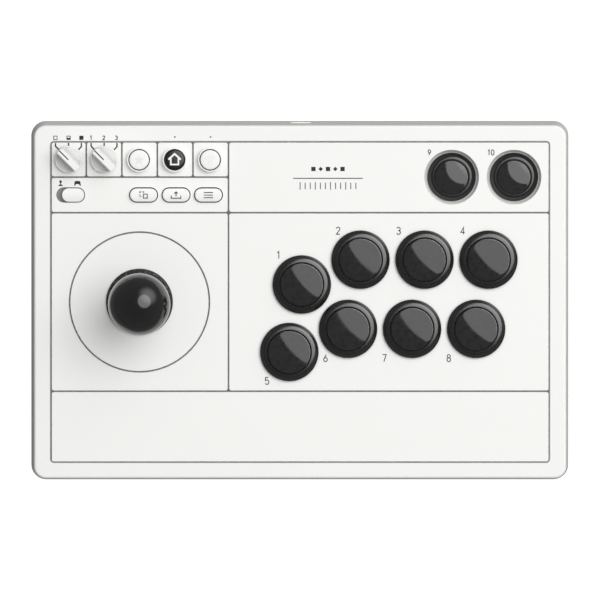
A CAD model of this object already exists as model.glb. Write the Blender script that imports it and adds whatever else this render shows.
"""An arcade stick controller lying flat, seen from above.

X runs left to right, +Y is the top of the view (the dial and key rows), +Z is up.
The CAD nodes, materials, lights and camera are in metres; printed marks are in millimetres.
"""
import bpy, bmesh, math
from mathutils import Vector, Matrix


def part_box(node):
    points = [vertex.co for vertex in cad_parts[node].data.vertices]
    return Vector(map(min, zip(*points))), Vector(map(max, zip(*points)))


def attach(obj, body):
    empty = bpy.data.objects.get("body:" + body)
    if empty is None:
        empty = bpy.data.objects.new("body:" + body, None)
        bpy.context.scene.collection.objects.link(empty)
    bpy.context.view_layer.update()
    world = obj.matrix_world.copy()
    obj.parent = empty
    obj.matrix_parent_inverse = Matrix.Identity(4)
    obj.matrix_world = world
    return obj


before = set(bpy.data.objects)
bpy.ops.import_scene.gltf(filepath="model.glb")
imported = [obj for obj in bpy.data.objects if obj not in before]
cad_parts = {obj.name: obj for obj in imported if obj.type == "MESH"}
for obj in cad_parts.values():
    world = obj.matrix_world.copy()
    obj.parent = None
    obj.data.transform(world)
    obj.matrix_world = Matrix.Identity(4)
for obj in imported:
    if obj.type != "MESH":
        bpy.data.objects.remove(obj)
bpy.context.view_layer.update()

MM = 0.001
DECK = 55.0  # height of the faceplate's upper face, mm


# ------------------------------------------------------------------ node helpers
MID = (0.3, 0.7)  # the part of a noise's range that most of its values fall in


def grey(value):
    return (value, value, value)


def scaled(colour, factor):
    return tuple(min(1.0, channel * factor) for channel in colour)


class Nodes:
    """Builds a shader node tree; an input may be given a value or another node's socket."""

    def __init__(self, tree, output_kind):
        self.tree = tree
        tree.nodes.clear()
        self.output = self.node(output_kind)
        self.coords = self.node("ShaderNodeTexCoord").outputs

    def set(self, socket, value):
        if isinstance(value, bpy.types.NodeSocket):
            self.tree.links.new(value, socket)
        elif socket.type == "RGBA":
            socket.default_value = (*value, 1.0)
        else:
            socket.default_value = value

    def node(self, kind, inputs=None, **settings):
        node = self.tree.nodes.new(kind)
        for key, value in settings.items():
            setattr(node, key, value)
        for key, value in (inputs or {}).items():
            self.set(node.inputs[key], value)
        return node

    def first(self, kind, inputs=None, **settings):
        """A new node's first output."""
        return self.node(kind, inputs, **settings).outputs[0]

    def surface(self, shader):
        self.set(self.output.inputs["Surface"], shader)

    def noise(self, scale, detail=2.0, rough=0.5, warp=0.0, stretch=None, offset=0.0):
        vector = self.coords["Object"]
        if stretch or offset:
            vector = self.first("ShaderNodeMapping", {
                "Vector": vector, "Scale": stretch or (1, 1, 1),
                "Location": (offset, offset * 0.7, offset * 1.3)})
        return self.first("ShaderNodeTexNoise", {
            "Vector": vector, "Scale": scale, "Detail": detail,
            "Roughness": rough, "Distortion": warp})

    def ramp(self, value, span, result=(0.0, 1.0), interpolation="LINEAR"):
        """Maps the span's two ends to the result's two ends, clamped."""
        return self.first("ShaderNodeMapRange", {
            "Value": value, "From Min": span[0], "From Max": span[1],
            "To Min": result[0], "To Max": result[1]}, interpolation_type=interpolation)

    def math(self, operation, a, b):
        return self.first("ShaderNodeMath", {0: a, 1: b}, operation=operation)

    def dot(self, a, b):
        node = self.node("ShaderNodeVectorMath", {0: a, 1: b}, operation="DOT_PRODUCT")
        return node.outputs["Value"]

    def split(self, vector):
        return self.node("ShaderNodeSeparateXYZ", {0: vector}).outputs

    def mix(self, factor, a, b, blend="MIX"):
        # a mix node's colour sockets are inputs 6 and 7 and output 2
        return self.node("ShaderNodeMix", {0: factor, 6: a, 7: b},
                         data_type="RGBA", blend_type=blend).outputs[2]


class Material(Nodes):
    def __init__(self, name):
        self.data = bpy.data.materials.new(name)
        self.data.use_nodes = True
        super().__init__(self.data.node_tree, "ShaderNodeOutputMaterial")

    def bump(self, height, strength, distance, normal=None):
        inputs = {"Height": height, "Strength": strength, "Distance": distance}
        if normal is not None:
            inputs["Normal"] = normal
        return self.first("ShaderNodeBump", inputs)

    def geometry(self, output):
        return self.node("ShaderNodeNewGeometry").outputs[output]

    def edge(self, radius, gain=2.0):
        """1 along convex and concave edges, 0 on open faces."""
        rounded = self.first("ShaderNodeBevel", {"Radius": radius}, samples=4)
        return self.ramp(self.dot(rounded, self.geometry("Normal")), (1.0, 1.0 - 0.3 / gain))

    def dirt(self, distance):
        """1 in tight corners, 0 in the open."""
        node = self.node("ShaderNodeAmbientOcclusion", {"Distance": distance}, samples=6)
        return self.ramp(node.outputs["AO"], (0.35, 0.95), (1.0, 0.0))

    def principled(self, base, rough, normal, metallic=0.0, spec=0.5, coat=0.0, coat_rough=0.1):
        node = self.node("ShaderNodeBsdfPrincipled", {
            "Base Color": base, "Roughness": rough, "Metallic": metallic,
            "Specular IOR Level": spec, "Coat Weight": coat, "Coat Roughness": coat_rough,
            "Normal": normal})
        self.surface(node.outputs[0])
        return node


# ------------------------------------------------------------------ material kinds
def moulded(name, base, rough, grain=0.09, grain_scale=7000, vary=0.03, spec=0.5,
            coat=0.0, coat_rough=0.08, edge_tint=None, edge_amount=0.0, edge_gain=2.0,
            edge_radius=0.0003, edge_facing=None, dust=(0.42, 0.40, 0.37), dust_amount=0.0,
            dust_reach=0.0012, groove=None, lined=(), matte_below=None, seed=0.0):
    """Injection-moulded plastic: spark-eroded grain, flow variation, burnished edges, dust.

    groove is (height, tint) for all that lies lower; lined holds boxes of another tint
    as (low corner, high corner, tint).
    """
    mat = Material(name)
    flow = mat.noise(26, detail=3, rough=0.55, warp=0.4, offset=seed + 1.7)
    fine = mat.noise(420, detail=3, rough=0.6, offset=seed)
    colour = mat.mix(flow, scaled(base, 1 - vary), scaled(base, 1 + vary))
    speckle = mat.ramp(fine, (0.35, 0.7), (0.0, vary * 6))
    colour = mat.mix(speckle, colour, scaled(base, 1 + vary * 1.5))
    roughness = mat.math("ADD", mat.ramp(flow, MID, (rough - 0.03, rough + 0.03)),
                         mat.ramp(fine, MID, (-0.025, 0.025)))
    if groove:
        depth, tint = groove
        height = mat.split(mat.coords["Object"])["Z"]
        colour = mat.mix(mat.ramp(height, (depth, depth - 0.0001)), colour, tint)
    for low, high, tint in lined:
        place = mat.split(mat.coords["Object"])
        inside = 1.0
        for i in range(3):
            inside = mat.math("MULTIPLY", inside, mat.math("GREATER_THAN", place[i], low[i]))
            inside = mat.math("MULTIPLY", inside, mat.math("LESS_THAN", place[i], high[i]))
        colour = mat.mix(inside, colour, tint)
    if edge_amount:
        if edge_facing:
            # burnished only on the side that faces this way
            edge = mat.ramp(mat.dot(mat.geometry("Normal"), edge_facing), (0.14, 0.3))
        else:
            edge = mat.edge(edge_radius, edge_gain)
        patches = mat.noise(900, rough=0.6, offset=seed + 3.1)
        edge = mat.math("MULTIPLY", edge, mat.ramp(patches, (0.35, 0.65), (0.5, 1.0)))
        colour = mat.mix(mat.math("MULTIPLY", edge, edge_amount), colour, edge_tint)
        roughness = mat.math("SUBTRACT", roughness, mat.math("MULTIPLY", edge, 0.06))
    if dust_amount:
        dirt = mat.math("MULTIPLY", mat.dirt(dust_reach), dust_amount)
        colour = mat.mix(dirt, colour, dust)
        roughness = mat.math("ADD", roughness, mat.math("MULTIPLY", dirt, 0.2))
    normal = mat.bump(mat.noise(grain_scale, offset=seed + 0.3), grain, distance=0.00006)
    waves = mat.noise(60, rough=0.4, offset=seed + 5.0)
    normal = mat.bump(waves, strength=0.04, distance=0.0002, normal=normal)
    shine = None
    if matte_below is not None:
        # the less polished skirt down in the gap
        height = mat.split(mat.coords["Object"])["Z"]
        low = mat.ramp(height, (matte_below, matte_below - 0.0001), (0.0, 0.4))
        colour = mat.mix(low, colour, grey(0.003))
        roughness = mat.math("MAXIMUM", roughness, mat.math("MULTIPLY", low, 0.9))
        shine = mat.math("MULTIPLY", mat.math("SUBTRACT", 1.0, low), spec)
    node = mat.principled(colour, roughness, normal, spec=spec, coat=coat, coat_rough=coat_rough)
    if shine:
        mat.set(node.inputs["Specular IOR Level"], shine)
    return mat.data


def metal(name, base, rough, stretch=(1, 1, 1), scale=1500, tarnish=0.15, bump=0.1, seed=0.0):
    """Brushed metal with cloudy tarnish and bright edges."""
    mat = Material(name)
    brush = mat.noise(scale, detail=4, rough=0.6, stretch=stretch, offset=seed)
    cloud = mat.noise(70, detail=3, rough=0.6, offset=seed + 2.0)
    colour = mat.mix(mat.ramp(cloud, (0.35, 0.7), (0.0, tarnish)), base, scaled(base, 0.55))
    colour = mat.mix(mat.ramp(brush, MID, (0.0, 0.25)), colour, scaled(base, 1.2))
    roughness = mat.math("ADD", mat.ramp(brush, MID, (rough - 0.06, rough + 0.08)),
                         mat.ramp(cloud, MID, (-0.03, 0.05)))
    edge = mat.edge(radius=0.0003)
    colour = mat.mix(mat.math("MULTIPLY", edge, 0.4), colour, scaled(base, 1.25))
    mat.principled(colour, roughness, mat.bump(brush, bump, distance=0.00005), metallic=1.0)
    return mat.data


def rubber(name, base):
    mat = Material(name)
    grain = mat.noise(2600, detail=4, rough=0.65)
    cloud = mat.noise(150, detail=3, rough=0.6, offset=2.0)
    colour = mat.mix(cloud, scaled(base, 0.8), scaled(base, 1.35))
    colour = mat.mix(mat.math("MULTIPLY", mat.dirt(0.001), 0.4), colour, (0.25, 0.24, 0.22))
    mat.principled(colour, mat.ramp(grain, MID, (0.62, 0.8)),
                   mat.bump(grain, strength=0.35, distance=0.00008), spec=0.3)
    return mat.data


def board(name):
    """Green solder mask over a brick pattern of tracks."""
    mat = Material(name)
    mask = mat.noise(90)
    place = mat.first("ShaderNodeMapping", {
        "Scale": (160, 160, 160), "Vector": mat.coords["Object"]})
    tracks = mat.node("ShaderNodeTexBrick", {
        "Vector": place, "Color1": grey(1), "Color2": grey(1), "Mortar": grey(0),
        "Mortar Size": 0.03}).outputs["Fac"]
    colour = mat.mix(mask, (0.006, 0.075, 0.032), (0.01, 0.11, 0.05))
    colour = mat.mix(mat.math("SUBTRACT", 1.0, tracks), (0.02, 0.17, 0.08), colour)
    mat.principled(colour, mat.ramp(mask, MID, (0.28, 0.4)),
                   mat.bump(tracks, strength=0.15, distance=0.00003), coat=0.3, coat_rough=0.15)
    return mat.data


def flecked(name, base, fleck):
    """Coarse spark-eroded black plastic with bright flecks on its grain."""
    mat = Material(name)
    grain = mat.noise(1500, detail=3, rough=0.65)
    specks = mat.ramp(mat.noise(1900, rough=0.6, offset=3.0), (0.57, 0.68))
    colour = mat.mix(mat.math("MULTIPLY", specks, 0.8), base, fleck)
    mat.principled(colour, mat.ramp(grain, MID, (0.34, 0.55)),
                   mat.bump(grain, strength=0.7, distance=0.0003), spec=0.35)
    return mat.data


def powder_coat(name):
    """Dark grainy coating, worn through in patches along the edges."""
    mat = Material(name)
    grain = mat.noise(1400, detail=5, rough=0.7)
    cloud = mat.noise(40, detail=3, offset=4.0)
    edge = mat.edge(radius=0.0004)
    colour = mat.mix(cloud, (0.035, 0.035, 0.037), (0.055, 0.055, 0.058))
    colour = mat.mix(mat.ramp(grain, (0.6, 0.75), (0.0, 0.35)), colour, (0.1, 0.1, 0.105))
    patches = mat.ramp(mat.noise(500, detail=3, rough=0.7, offset=8.0), (0.45, 0.6))
    wear = mat.math("MULTIPLY", edge, patches)
    colour = mat.mix(mat.math("MULTIPLY", wear, 0.7), colour, (0.3, 0.3, 0.31))
    mat.principled(colour, mat.ramp(grain, MID, (0.45, 0.62)),
                   mat.bump(grain, strength=0.5, distance=0.00012), spec=0.45)
    return mat.data


def ink(name, base):
    mat = Material(name)
    grain = mat.noise(3500, detail=3, rough=0.6)
    cloud = mat.noise(300, offset=1.0)
    colour = mat.mix(mat.ramp(grain, (0.3, 0.75), (0.0, 0.5)), base, scaled(base, 1.35))
    mat.principled(colour, mat.ramp(cloud, MID, (0.47, 0.63)),
                   mat.bump(grain, strength=0.1, distance=0.00002), spec=0.35)
    return mat.data


# ------------------------------------------------------------------ materials
# settings shared by the pale knobs and keys, the button rims, and the button plungers
PALE = dict(base=(0.87, 0.87, 0.86), rough=0.42, grain=0.07, vary=0.01,
            edge_tint=(0.96, 0.96, 0.955), edge_amount=0.6)
RIM = dict(base=(0.006, 0.006, 0.0065), rough=0.2, grain=0.05, grain_scale=9000, vary=0.3)
CAP = dict(base=(0.015, 0.015, 0.0155), rough=0.04, grain=0.012, grain_scale=11000, vary=0.3,
           edge_tint=(0.33, 0.33, 0.333), edge_amount=0.9, edge_facing=(0.79, 0.61, 0.0))
DARK = grey(0.03)  # unlit walls and floors of recesses

MATERIALS = {
    "case": moulded(
        "case_plastic", (0.86, 0.86, 0.845), 0.5, grain=0.12, vary=0.012,
        edge_tint=(0.95, 0.95, 0.94), edge_amount=0.5, dust_amount=0.25,
        lined=[((-0.1398, 0.05, 0.05297), (-0.04, 0.0898, 0.0531), grey(0.27)),
               ((-0.1398, 0.05, 0.0509), (-0.04, 0.0898, 0.05297), DARK)]),
    "face": moulded(
        "faceplate_plastic", (0.865, 0.865, 0.85), 0.48, grain=0.10, vary=0.01,
        edge_tint=(0.97, 0.97, 0.965), edge_amount=0.85, edge_gain=5.0, edge_radius=0.0005,
        dust_amount=0.1, groove=(0.0546, (0.12, 0.12, 0.118)),
        lined=[((-0.1398, 0.05, 0.0525), (-0.0401, 0.0898, 0.05415), DARK),
               ((0.068, 0.053, 0.0529), (0.1375, 0.0885, 0.0547), (0.86, 0.86, 0.85))],
        seed=11.0),
    "key": moulded("key_plastic", lined=[((-1, -1, 0.03), (1, 1, 0.0541), DARK)],
                   seed=23.0, **PALE),
    "knob": moulded("knob_plastic", dust=grey(0.2), dust_amount=0.5, dust_reach=0.003,
                    lined=[((-1, -1, 0.055), (1, 1, 0.0574), (0.74, 0.74, 0.73))],
                    seed=25.0, **PALE),
    "key_black": moulded("home_key_plastic", (0.012, 0.012, 0.013), 0.2, grain=0.05,
                         vary=0.15, seed=29.0),
    "rim": moulded("rim_plastic", spec=0.95, edge_tint=(0.07, 0.07, 0.072),
                   edge_amount=0.45, seed=31.0, **RIM),
    "small_rim": moulded("small_rim_plastic", spec=0.74, edge_tint=(0.09, 0.09, 0.092),
                         edge_amount=0.5, seed=32.0, **RIM),
    "cap": moulded("plunger_plastic", spec=0.46, matte_below=0.0582, seed=37.0, **CAP),
    "small_cap": moulded("small_plunger_plastic", spec=0.62, matte_below=0.0533,
                         seed=38.0, **CAP),
    "ball": moulded("ball_plastic", (0.009, 0.009, 0.010), 0.09, grain=0.02, grain_scale=2500,
                    vary=0.15, spec=0.4, coat=0.55, coat_rough=0.14, seed=41.0),
    "washer": flecked("washer_plastic", (0.004, 0.004, 0.0045), (0.24, 0.24, 0.245)),
    "housing": moulded("housing_plastic", (0.02, 0.02, 0.022), 0.42, grain=0.2,
                       grain_scale=5000, vary=0.2, edge_tint=(0.07, 0.07, 0.075),
                       edge_amount=0.4, dust_amount=0.15, seed=47.0),
    "nylon": moulded("nylon", (0.72, 0.70, 0.64), 0.38, grain=0.1, vary=0.04,
                     edge_tint=(0.85, 0.84, 0.8), edge_amount=0.4, seed=53.0),
    "switch": moulded("switch_body", (0.014, 0.014, 0.016), 0.45, grain=0.2,
                      grain_scale=5000, vary=0.2, edge_tint=(0.06, 0.06, 0.065),
                      edge_amount=0.4, seed=59.0),
    "clear": moulded("light_pipe", (0.12, 0.125, 0.13), 0.15, grain=0.05, seed=61.0),
    "battery": moulded("battery_wrap", (0.03, 0.09, 0.32), 0.3, grain=0.05, vary=0.08,
                       edge_tint=(0.1, 0.2, 0.5), edge_amount=0.5, seed=67.0),
    "wire": moulded("wire_sleeve", (0.32, 0.02, 0.02), 0.4, grain=0.1, vary=0.1, seed=71.0),
    "chrome": metal("lever_steel", (0.62, 0.62, 0.64), 0.12, stretch=(1, 1, 8), scale=900,
                    tarnish=0.1, bump=0.03),
    "zinc": metal("zinc_plate", (0.55, 0.56, 0.57), 0.3, stretch=(1, 12, 1), scale=500,
                  tarnish=0.3, bump=0.08, seed=3.0),
    "screw": metal("screw_steel", (0.45, 0.45, 0.47), 0.28, scale=1800, tarnish=0.25,
                   seed=5.0),
    "spring": metal("spring_steel", (0.42, 0.42, 0.44), 0.25, scale=2500, tarnish=0.2,
                    bump=0.08, seed=7.0),
    "port": metal("port_steel", (0.62, 0.62, 0.63), 0.22, scale=3000, tarnish=0.1,
                  bump=0.05, seed=9.0),
    "rubber": rubber("foot_rubber", grey(0.018)),
    "board": board("solder_mask"),
    "base": powder_coat("base_powder_coat"),
}
INK = ink("print_ink", (0.02, 0.02, 0.021))
INK_SOFT = ink("print_ink_soft", grey(0.055))
INK_PALE = ink("print_ink_pale", (0.72, 0.72, 0.705))
INK_WHITE = ink("print_ink_white", (0.88, 0.88, 0.87))

# material: the CAD nodes it covers; the play buttons are told apart by their names' endings
NODES_OF = {
    "case": "top_case",
    "face": "faceplate",
    "base": "base_plate",
    "rubber": "rubber_feet",
    "clear": "light_pipes",
    "ball": "ball_top",
    "chrome": "lever_shaft pivot_collar",
    "washer": "dust_washer lower_dust_washer",
    "zinc": "stick_plate",
    "screw": "base_screws stick_screws board_screws",
    "housing": "stick_housing restrictor_gate",
    "nylon": "pivot_ring spring_cup actuator",
    "spring": "return_spring e_clip",
    "board": "stick_switch_board control_board main_board",
    "switch": "stick_microswitches button_microswitches key_switches selector_switches",
    "knob": "left_knob right_knob",
    "key": "slide_switch_knob star_button profile_button view_button share_button menu_button",
    "key_black": "home_button",
    "port": "usb_port",
    "battery": "battery_pack",
    "wire": "wiring_harness",
}
KIND_OF = {node: kind for kind, nodes in NODES_OF.items() for node in nodes.split()}


def material_for(node):
    size = "small_" if node.startswith("small") else ""
    if node.endswith("_plunger"):
        return MATERIALS[size + "cap"]
    if node.endswith("_housing") and "button" in node:
        return MATERIALS[size + "rim"]
    return MATERIALS[KIND_OF[node]]


# ------------------------------------------------------------------ shading and fine edges
SMOOTH_ANGLE = math.radians(32)
EDGE_BEVEL = dict.fromkeys(  # mm
    ("top_case", "left_knob", "right_knob", "base_plate"), 0.15) | {"faceplate": 0.14}


def smooth_group():
    """Geometry nodes that shade smooth except across edges sharper than an angle."""
    group = bpy.data.node_groups.new("smooth_by_angle", "GeometryNodeTree")
    sockets = group.interface
    sockets.new_socket("Geometry", in_out="INPUT", socket_type="NodeSocketGeometry")
    angle = sockets.new_socket("Angle", in_out="INPUT", socket_type="NodeSocketFloat")
    angle.default_value = SMOOTH_ANGLE
    sockets.new_socket("Geometry", in_out="OUTPUT", socket_type="NodeSocketGeometry")
    new, link = group.nodes.new, group.links.new
    source, result = new("NodeGroupInput"), new("NodeGroupOutput")
    faces, edges = new("GeometryNodeSetShadeSmooth"), new("GeometryNodeSetShadeSmooth")
    faces.domain, edges.domain = "FACE", "EDGE"
    faces.inputs["Shade Smooth"].default_value = True
    edges.inputs["Shade Smooth"].default_value = False
    edge_angle = new("GeometryNodeInputMeshEdgeAngle")
    sharper = new("FunctionNodeCompare")
    sharper.data_type, sharper.operation = "FLOAT", "GREATER_THAN"
    link(source.outputs[0], faces.inputs["Geometry"])
    link(faces.outputs[0], edges.inputs["Geometry"])
    link(edge_angle.outputs["Unsigned Angle"], sharper.inputs[0])
    link(source.outputs["Angle"], sharper.inputs[1])
    link(sharper.outputs[0], edges.inputs["Selection"])
    link(edges.outputs[0], result.inputs[0])
    return group


SMOOTH = smooth_group()
ANGLE_INPUT = next(item.identifier for item in SMOOTH.interface.items_tree
                   if item.name == "Angle")


def refine(part, bevel):
    """Weld and smooth a CAD part; a bevel width in mm also softens its edges."""
    attributes = part.data.attributes
    if "custom_normal" in attributes:
        attributes.remove(attributes["custom_normal"])
    weld = part.modifiers.new("weld", "WELD")
    weld.merge_threshold = 2e-6
    if bevel:
        planar = part.modifiers.new("planar", "DECIMATE")
        planar.decimate_type = "DISSOLVE"
        planar.angle_limit = math.radians(0.4)
        edges = part.modifiers.new("edges", "BEVEL")
        edges.width = bevel * MM
        edges.segments = 2
        edges.limit_method = "ANGLE"
        edges.angle_limit = math.radians(35)
        edges.harden_normals = False
    smooth = part.modifiers.new("smooth", "NODES")
    smooth.node_group = SMOOTH
    smooth[ANGLE_INPUT] = SMOOTH_ANGLE
    if bevel:
        weighted = part.modifiers.new("face_weight", "WEIGHTED_NORMAL")
        weighted.mode = "FACE_AREA"
        weighted.weight = 50
        weighted.keep_sharp = True


for name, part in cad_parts.items():
    slots = part.data.materials
    if not slots:
        slots.append(material_for(name))
    for i in range(len(slots)):
        slots[i] = material_for(name)
    refine(part, EDGE_BEVEL.get(name, 0.0))


# ------------------------------------------------------------------ drawing in ink
def arc(cx, cy, rx, ry, start, end, steps=10):
    """Points on an ellipse from one angle to another, in degrees."""
    angles = [math.radians(start + (end - start) * i / steps) for i in range(steps + 1)]
    return [(cx + rx * math.cos(a), cy + ry * math.sin(a)) for a in angles]


def ring(cx, cy, rx, ry, steps):
    return arc(cx, cy, rx, ry, 0, 360, steps)[:-1]


def rect(x0, y0, x1, y1):
    return [(x0, y0), (x1, y0), (x1, y1), (x0, y1)]


# numerals on a cell 2 wide and 4 tall, origin at the lower left: (path, closed) strokes
GLYPHS = {
    "0": [(arc(1, 3, 1, 1, 0, 180) + arc(1, 1, 1, 1, 180, 360), True)],
    "1": [([(0.25, 3.3), (1.15, 4), (1.15, 0)], False)],
    "2": [(arc(1, 3, 1, 1, 170, -25, 12) + [(0.05, 0.0), (2.1, 0.0)], False)],
    "3": [(arc(0.95, 3.05, 0.95, 0.95, 160, -80, 12), False),
          (arc(0.95, 1.08, 1.05, 1.08, 82, -160, 14), False),
          ([(0.75, 2.12), (1.15, 2.12)], False)],
    "4": [([(1.5, 0), (1.5, 4), (0, 1.15), (2.15, 1.15)], False)],
    "5": [([(1.85, 4), (0.25, 4), (0.12, 2.2)]
           + arc(0.98, 1.3, 1.05, 1.3, 118, -155, 14), False)],
    "6": [([(1.5, 4), (0.25, 1.9)], False), (ring(1, 1.15, 1.0, 1.15, 20), True)],
    "7": [([(0, 4), (2, 4), (0.75, 0)], False)],
    "8": [(ring(1, 3.08, 0.85, 0.92, 18), True), (ring(1, 1.08, 1.0, 1.08, 20), True)],
    "9": [([(0.5, 0), (1.75, 2.1)], False), (ring(1, 2.85, 1.0, 1.15, 20), True)],
}
GLYPH_PITCH = 2.9


class Pen:
    """Draws thin solid marks between two heights, in mm measured from (x, y)."""

    def __init__(self, bottom=DECK - 0.02, top=DECK + 0.03, x=0.0, y=0.0):
        self.mesh = bmesh.new()
        self.bottom, self.top, self.x, self.y = bottom, top, x, y

    def level(self, outline, z):
        return [self.mesh.verts.new((x * MM, y * MM, z * MM)) for x, y in outline]

    def extrude(self, outline, top):
        low, high = self.level(outline, self.bottom), self.level(outline, top)
        self.mesh.faces.new(high)
        self.mesh.faces.new(low[::-1])
        for i in range(len(low)):
            j = (i + 1) % len(low)
            self.mesh.faces.new((low[i], low[j], high[j], high[i]))

    def prism(self, outline):
        self.extrude([(self.x + x, self.y + y) for x, y in outline], self.top)

    def stroke(self, path, width, closed=False, raised=0.0):
        """A band along a path, mitred at its corners."""
        points = [Vector((self.x + x, self.y + y)) for x, y in path]
        count = len(points)
        steps = [(points[(i + 1) % count] - points[i]).normalized() for i in range(count)]
        left, right = [], []
        for i, point in enumerate(points):
            arriving = steps[i - 1] if closed or i > 0 else steps[0]
            leaving = steps[i] if closed or i < count - 1 else steps[i - 1]
            along = (arriving + leaving).normalized()
            across = Vector((-along.y, along.x))
            # 0.35 limits how far a sharp mitre reaches
            reach = width / 2 / max(0.35, across.dot(Vector((-arriving.y, arriving.x))))
            left.append(point + across * reach)
            right.append(point - across * reach)
        top = self.top + raised
        if not closed:
            self.extrude(right + left[::-1], top)
            return
        left_low, left_high, right_low, right_high = (
            self.level(side, z) for side in (left, right) for z in (self.bottom, top))
        for i in range(count):
            j = (i + 1) % count
            for a, b in ((right_high, left_high), (left_low, right_low),
                         (left_high, left_low), (right_low, right_high)):
                self.mesh.faces.new((a[i], a[j], b[j], b[i]))

    def numeral(self, text, x, y, height, width):
        """Text centred on (x, y), drawn with strokes of a width."""
        scale = (height - width) / 4
        total = (len(text) - 1) * GLYPH_PITCH + 2
        for i, digit in enumerate(text):
            left = x - total * scale / 2 + i * GLYPH_PITCH * scale
            low = y - 2 * scale
            for path, closed in GLYPHS[digit]:
                self.stroke([(left + px * scale, low + py * scale) for px, py in path],
                            width, closed)

    def finish(self, name, ink_material, body, slot):
        data = bpy.data.meshes.new(name)
        bmesh.ops.recalc_face_normals(self.mesh, faces=self.mesh.faces)
        self.mesh.to_mesh(data)
        self.mesh.free()
        mark = bpy.data.objects.new(name, data)
        bpy.context.scene.collection.objects.link(mark)
        data.materials.append(ink_material)
        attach(mark, body)


# ------------------------------------------------------------------ print on the faceplate and case
PLAY_NUMBERS = (  # text, x, y
    ("1", -12.1, 26.4), ("2", 21.4, 40.1), ("3", 55.4, 40.0), ("4", 91.4, 40.0),
    ("5", -18.6, -44.4), ("6", 14.3, -31.6), ("7", 47.4, -31.6), ("8", 83.6, -31.6))
SMALL_NUMBERS = (("9", 72.7, 84.1), ("10", 107.2, 84.1))
pen = Pen()
for text, x, y in PLAY_NUMBERS:
    pen.numeral(text, x, y, height=4.5, width=0.55)
for text, x, y in SMALL_NUMBERS:
    pen.numeral(text, x, y, height=3.4, width=0.52)
pen.finish("button_numbers", INK_SOFT, "case", "faceplate_white")

# three lines fanning out on the +Y side of each dial
LEADER_TOP = 89.45
pen = Pen()
for x in (-130, -110):
    for path in ([(x - 7.45, LEADER_TOP), (x - 7.45, 87.6), (x - 5.55, 85.7)],
                 [(x - 0.1, LEADER_TOP), (x - 0.1, 87.75)],
                 [(x + 7.1, LEADER_TOP), (x + 7.1, 87.4), (x + 5.45, 85.6)]):
        pen.stroke(path, width=0.78)
pen.finish("dial_leader_lines", INK, "case", "faceplate_white")

# left dial: empty, half and full blocks; right dial: numerals
LABEL_Y = 92.35
BLOCK_XS = (-137.5, -130.1, -122.9)
HALF = 0.95  # half a block's side
pen = Pen()
for x in BLOCK_XS:
    pen.stroke(rect(x - HALF, LABEL_Y - HALF, x + HALF, LABEL_Y + HALF), 0.42, closed=True)
for x, top in ((BLOCK_XS[1], LABEL_Y), (BLOCK_XS[2], LABEL_Y + HALF)):
    pen.prism(rect(x - HALF, LABEL_Y - HALF, x + HALF, top))
for text, x in (("1", -117.5), ("2", -110.3), ("3", -103.2)):
    pen.numeral(text, x, LABEL_Y, height=2.6, width=0.5)
pen.finish("dial_numbers", INK, "case", "case_white")

# a small lever (ball, shaft, foot) and a two-handled pad
pen = Pen()
pen.prism(ring(-134.6, 67.7, 0.75, 0.75, 16))
pen.prism(rect(-134.85, 65.9, -134.35, 67.2))
pen.prism([(-135.9, 65.2), (-133.3, 65.2), (-133.7, 66.0), (-135.5, 66.0)])
pen.prism([(-127.0, 65.3), (-126.5, 65.3), (-125.9, 66.3), (-124.3, 66.3), (-123.7, 65.3),
           (-123.2, 65.3), (-123.5, 67.7), (-124.1, 68.1), (-126.1, 68.1), (-126.7, 67.7)])
pen.finish("switch_pictograms", INK, "case", "faceplate_white")

# a rule with a row of squares and diamonds above it and a row of dashes below
PANEL_X = 15.7
ROW_Y = 74.8
pen = Pen()
pen.stroke([(-3.9, 69.55), (35.3, 69.55)], width=0.5)
for i in range(5):
    x = PANEL_X + (i - 2) * 4.1
    if i % 2:
        pen.prism([(x - 1.25, ROW_Y), (x, ROW_Y - 1.25), (x + 1.25, ROW_Y), (x, ROW_Y + 1.25)])
    else:
        pen.prism(rect(x - 1.2, ROW_Y - 1.2, x + 1.2, ROW_Y + 1.2))
pen.finish("panel_rule_and_blocks", INK, "case", "faceplate_white")

DASH_Y = 65.3
pen = Pen()
for i in range(12):
    x = PANEL_X + (i - 5.5) * 2.85
    length = 3.6 if i % 3 else 4.2
    pen.stroke([(x, DASH_Y - length / 2), (x, DASH_Y + length / 2)], width=0.5)
pen.finish("panel_dashes", INK_SOFT, "case", "faceplate_white")


# ------------------------------------------------------------------ marks on the keys
def key_pen(node, top, sunk):
    """A pen at a key's centre whose marks start below its top and stand just proud."""
    low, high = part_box(node)
    middle = (Vector(low) + Vector(high)) / 2 / MM
    return Pen(top - sunk, top + 0.02, middle.x, middle.y)


SMALL_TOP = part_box("view_button")[1][2] / MM
ROUND_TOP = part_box("star_button")[1][2] / MM

# a window in front of the corners of another
pen = key_pen("view_button", SMALL_TOP, sunk=0.3)
pen.stroke(rect(-0.1, -1.65, 2.1, 0.55), width=0.5, closed=True)
for path in ([(-2.1, -0.35), (-2.1, 0.35)], [(-2.1, 1.15), (-2.1, 1.85), (-1.4, 1.85)],
             [(-0.7, 1.85), (0.1, 1.85), (0.1, 1.15)], [(-2.1, -0.75), (-1.35, -0.75)]):
    pen.stroke(path, width=0.5)
pen.finish("view_mark", INK_SOFT, "view_key", "key_white")

# an arrow rising out of a tray
pen = key_pen("share_button", SMALL_TOP, sunk=0.3)
pen.stroke([(-2.7, -0.3), (-2.7, -1.75), (2.7, -1.75), (2.7, -0.3)], width=0.52)
pen.stroke([(0, -0.7), (0, 1.7)], width=0.52)
pen.stroke([(-0.95, 0.85), (0, 1.85), (0.95, 0.85)], width=0.52, raised=0.01)
pen.finish("share_mark", INK_SOFT, "share_key", "key_white")

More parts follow.
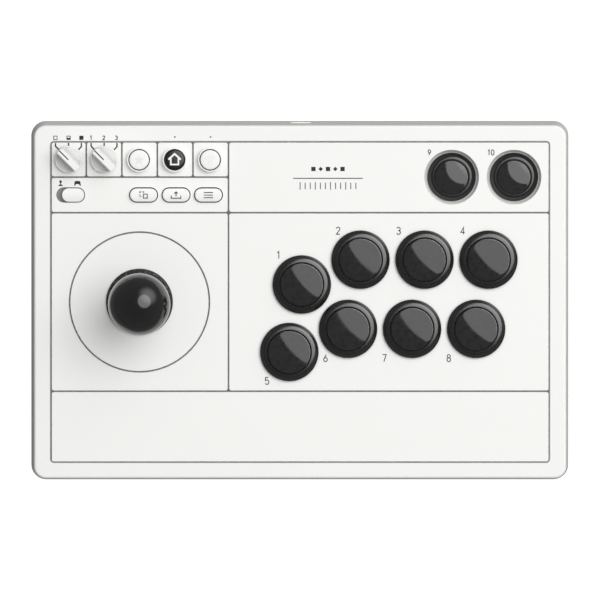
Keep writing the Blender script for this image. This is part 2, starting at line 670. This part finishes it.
pen = key_pen("menu_button", SMALL_TOP, sunk=0.3)
for y in (-1.42, 0, 1.42):
    pen.stroke([(-2.55, y), (2.55, y)], width=0.52)
pen.finish("menu_mark", INK_SOFT, "menu_key", "key_white")

pen = key_pen("star_button", ROUND_TOP, sunk=0.12)
star = []
for i in range(10):
    radius = 1.25 if i % 2 else 2.9
    angle = math.radians(90 + 36 * i)
    star.append((radius * math.cos(angle), radius * math.sin(angle)))
pen.prism(star)
pen.finish("star_mark", INK_PALE, "star_key", "key_white")

pen = key_pen("profile_button", ROUND_TOP, sunk=0.12)
for x, y in ((-1.35, 1.0), (1.35, 1.0), (0, -1.5)):
    pen.stroke(ring(x, y, 0.95, 0.95, 18), width=0.4, closed=True)
pen.finish("profile_mark", INK_PALE, "profile_key", "key_white")

# a house: roof and walls
pen = key_pen("home_button", ROUND_TOP, sunk=0.2)
pen.stroke([(-3.5, 0.15), (0, 3.35), (3.5, 0.15)], width=1.0)
pen.stroke([(-2.15, 0.9), (-2.15, -2.6), (2.15, -2.6), (2.15, 0.9)], width=0.85, raised=-0.002)
pen.finish("home_mark", INK_WHITE, "home_key", "key_white")

# ink in the knobs' pointer grooves
pointer = Vector((-1, 1)).normalized()
for side in ("left", "right"):
    low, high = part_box(side + "_knob")
    x, y = ((low[i] + high[i]) / 2 / MM for i in range(2))
    top = high[2] / MM
    pen = Pen(top - 0.29, top - 0.12, x, y)
    pen.stroke([(pointer.x * r, pointer.y * r) for r in (0.1, 7.25)], width=0.5)
    pen.finish(side + "_pointer_ink", INK, side + "_dial", "key_white")


# ------------------------------------------------------------------ floor
def floor_material():
    """White to the camera, grey to other rays, see-through from below."""
    mat = Material("floor_white")
    is_camera = mat.node("ShaderNodeLightPath").outputs["Is Camera Ray"]
    tone = mat.mix(mat.noise(1.2), grey(0.22), grey(0.26))
    matte = mat.first("ShaderNodeBsdfDiffuse", {"Color": tone})
    seen = mat.first("ShaderNodeAddShader", {
        0: mat.first("ShaderNodeBsdfDiffuse", {"Color": grey(0.30)}),
        1: mat.first("ShaderNodeEmission", {"Color": grey(1), "Strength": 0.98})})
    # the patch under the object gives back a little light, so the underside reads from below
    place = mat.split(mat.coords["Object"])
    near_x, near_y = (
        mat.math("LESS_THAN", mat.math("ABSOLUTE", place[axis], 0.0), half_size)
        for axis, half_size in (("X", 0.146), ("Y", 0.096)))
    strength = mat.math("MULTIPLY", mat.math("MULTIPLY", near_x, near_y), 1.1)
    fill = mat.first("ShaderNodeEmission", {"Strength": strength})
    lit = mat.first("ShaderNodeAddShader", {0: matte, 1: fill})
    front = mat.first("ShaderNodeMixShader", {0: is_camera, 1: lit, 2: seen})
    clear = mat.first("ShaderNodeBsdfTransparent")
    mat.surface(mat.first("ShaderNodeMixShader", {
        0: mat.geometry("Backfacing"), 1: front, 2: clear}))
    return mat.data


def floor(half_side=14, drop=0.0002):
    data = bpy.data.meshes.new("floor")
    corners = rect(-half_side, -half_side, half_side, half_side)
    data.from_pydata([(x, y, 0) for x, y in corners], [], [(0, 1, 2, 3)])
    plane = bpy.data.objects.new("floor", data)
    plane.location.z = -drop
    bpy.context.scene.collection.objects.link(plane)
    data.materials.append(floor_material())


floor()


# ------------------------------------------------------------------ light
def aim(off_zenith, azimuth):
    """Unit vector; degrees from +Z, and from +X towards +Y."""
    tilt, turn = math.radians(off_zenith), math.radians(azimuth)
    return Vector((math.sin(tilt) * math.cos(turn), math.sin(tilt) * math.sin(turn),
                   math.cos(tilt)))


# world brightness as matte surfaces see it: the two sides, the ceiling and the glow
DIM_SIDE, LIT_SIDE, CEILING, GLOW_SOFT = 0.02, 0.23, 0.71, 1.1
# and as reflections see it: at the horizon, overhead and in the glow
MIRROR_LOW, MIRROR_HIGH, GLOW_MIRROR = 0.26, 0.16, 2.0


def studio_world():
    """A dim room, a bright ceiling and one broad soft glow high towards +X +Y."""
    scene = bpy.context.scene
    world = scene.world or bpy.data.worlds.new("studio")
    scene.world = world
    world.use_nodes = True
    sky = Nodes(world.node_tree, "ShaderNodeOutputWorld")
    rays = sky.node("ShaderNodeLightPath").outputs
    view = sky.coords["Generated"]
    up = sky.math("MAXIMUM", sky.split(view)["Z"], 0.0)

    def toward(direction):
        return sky.dot(view, direction.normalized())

    spot = sky.ramp(toward(aim(50, 46)), (math.cos(math.radians(41)), 1.0),
                    interpolation="SMOOTHSTEP")
    glow = sky.math("POWER", spot, 1.6)
    sides = sky.ramp(toward(Vector((0.75, 0.66, 0))), (-1.0, 1.0), (DIM_SIDE, LIT_SIDE))
    slope = sky.ramp(toward(Vector((0.9, 0.44, 0))), (-1.0, 1.0),
                     (CEILING * 0.72, CEILING * 1.28))
    ceiling = sky.math("MULTIPLY", sky.math("MULTIPLY", up, up), slope)
    soft = sky.math("ADD", sky.math("ADD", sides, ceiling),
                    sky.math("MULTIPLY", glow, GLOW_SOFT))
    mirror = sky.math("ADD", sky.ramp(up, (0.0, 0.9), (MIRROR_LOW, MIRROR_HIGH)),
                      sky.math("MULTIPLY", glow, GLOW_MIRROR))
    colour = sky.mix(rays["Is Glossy Ray"], soft, mirror)
    colour = sky.mix(rays["Is Camera Ray"], colour, grey(1.05))
    colour = sky.mix(1.0, colour, (1.0, 1.0, 0.99), "MULTIPLY")
    sky.surface(sky.first("ShaderNodeBackground", {"Color": colour}))


studio_world()


def disk_light(name, back, distance, half_angle, radiance, glossy=True):
    """A round soft box in direction back from the deck's centre, aimed at it."""
    radius = distance * math.tan(math.radians(half_angle))
    data = bpy.data.lights.new(name, "AREA")
    data.shape = "DISK"
    data.size = 2 * radius
    data.energy = radiance * math.pi * math.pi * radius * radius
    light = bpy.data.objects.new(name, data)
    light.location = Vector((0, 0, DECK * MM)) + back * distance
    light.rotation_mode = "QUATERNION"
    light.rotation_quaternion = (-back).to_track_quat("-Z", "Y")
    light.visible_camera = False
    light.visible_glossy = glossy
    bpy.context.scene.collection.objects.link(light)


disk_light("key_softbox", aim(23, 38), distance=3.0, half_angle=24, radiance=2.6)
disk_light("near_fill", aim(40, 35), distance=0.75, half_angle=12, radiance=1.2, glossy=False)


# ------------------------------------------------------------------ camera
VIEW_WIDTH = 0.3373  # width seen at the deck, m
TARGET = Vector((-0.00003, 0.00112, DECK * MM))
TILT_X, TILT_Y = -0.1, 2.1  # lean of the line of sight off the vertical, degrees


def camera():
    """A very long lens looking almost straight down, +Y up in the picture."""
    scene = bpy.context.scene
    data = bpy.data.cameras.new("camera")
    data.lens, data.sensor_width = 1600, 36
    data.clip_start, data.clip_end = 0.1, 100
    eye = bpy.data.objects.new("camera", data)
    scene.collection.objects.link(eye)
    back = Vector((math.sin(math.radians(TILT_X)), math.sin(math.radians(TILT_Y)), 0))
    back.z = math.sqrt(1 - back.length_squared)
    right = Vector((0, 1, 0)).cross(back).normalized()
    eye.location = TARGET + back * (VIEW_WIDTH / data.sensor_width * data.lens)
    eye.rotation_mode = "QUATERNION"
    axes = Matrix((right, back.cross(right), back)).transposed()
    eye.rotation_quaternion = axes.to_quaternion()
    scene.camera = eye
    scene.view_settings.view_transform = "Standard"
    scene.view_settings.look = "None"


camera()
